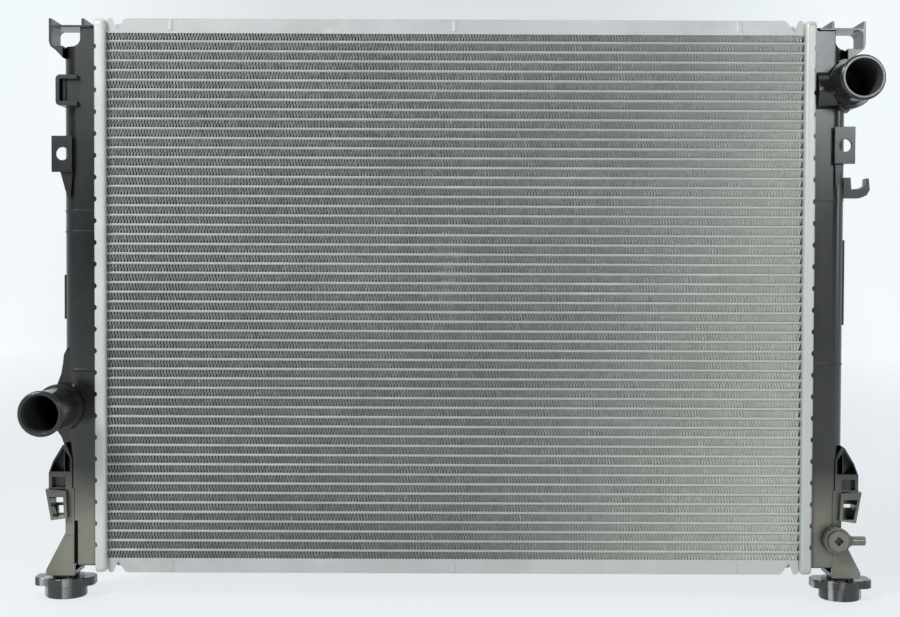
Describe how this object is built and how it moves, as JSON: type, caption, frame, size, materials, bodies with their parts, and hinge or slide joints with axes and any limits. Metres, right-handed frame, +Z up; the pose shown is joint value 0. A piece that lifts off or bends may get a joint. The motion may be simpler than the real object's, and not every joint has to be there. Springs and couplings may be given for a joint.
{
  "type": "car radiator",
  "caption": "Crossflow car radiator: brazed aluminium tube and fin core, crimped plastic side tanks with hose stubs and brackets, rubber feet and a drain plug.",
  "frame": {"origin": "centre of the bounding box's bottom face, at floor level under the two rubber feet", "axes": "+X along the cooling tubes towards the inlet tank, -Y the side the hose stubs point to, +Z up"},
  "size_m": [0.7856, 0.111, 0.5387],
  "materials": {
    "tube_aluminium": "dull brazed",
    "fin_aluminium": "dull brazed",
    "header_aluminium": "satin pressed",
    "plate_aluminium": "satin pressed",
    "tank_plastic": "moulded glass-filled nylon, semi-matt",
    "plug_plastic": "moulded",
    "seal_rubber": "matt",
    "isolator_rubber": "semi-gloss moulded"
  },
  "bodies": {
    "radiator": {"tube_bank_1": "tube_aluminium", "tube_bank_2": "tube_aluminium", "tube_bank_3": "tube_aluminium", "tube_bank_4": "tube_aluminium", "tube_bank_5": "tube_aluminium", "tube_bank_6": "tube_aluminium", "tube_bank_7": "tube_aluminium", "tube_bank_8": "tube_aluminium", "tube_bank_9": "tube_aluminium", "fin_bank_1": "fin_aluminium", "fin_bank_2": "fin_aluminium", "fin_bank_3": "fin_aluminium", "fin_bank_4": "fin_aluminium", "fin_bank_5": "fin_aluminium", "fin_bank_6": "fin_aluminium", "fin_bank_7": "fin_aluminium", "fin_bank_8": "fin_aluminium", "fin_bank_9": "fin_aluminium", "fin_bank_10": "fin_aluminium", "fin_bank_11": "fin_aluminium", "inlet_header": "header_aluminium", "outlet_header": "header_aluminium", "inlet_gasket": "seal_rubber", "outlet_gasket": "seal_rubber", "top_side_plate": "plate_aluminium", "bottom_side_plate": "plate_aluminium", "inlet_tank": "tank_plastic", "outlet_tank": "tank_plastic", "inlet_stub": "tank_plastic", "outlet_stub": "tank_plastic", "inlet_top_bracket": "tank_plastic", "outlet_top_bracket": "tank_plastic", "inlet_tab": "tank_plastic", "outlet_tab": "tank_plastic", "inlet_shroud_clip": "tank_plastic", "outlet_shroud_clip": "tank_plastic", "inlet_leg": "tank_plastic", "outlet_leg": "tank_plastic", "outlet_side_socket": "tank_plastic", "cable_hook": "tank_plastic", "drain_boss": "tank_plastic", "inlet_isolator": "isolator_rubber", "outlet_isolator": "isolator_rubber"},
    "seal_ring": {"drain_seal": "seal_rubber"},
    "plug": {"drain_plug": "plug_plastic"}
  },
  "joints": [
    {"name": "drain_plug_travel", "type": "slide", "parent": "radiator", "child": "seal_ring", "axis": [0, -1, 0], "range_m": [0, 0.005]},
    {"name": "drain_plug_turn", "type": "hinge", "parent": "seal_ring", "child": "plug", "pos_m": [0.354, 0.0015, 0.0598], "axis": [0, -1, 0], "range_deg": [0, 720]}
  ],
  "couplings": [
    {"joint": "drain_plug_turn", "follows": "drain_plug_travel", "rad_per_m": 2513.3}
  ]
}
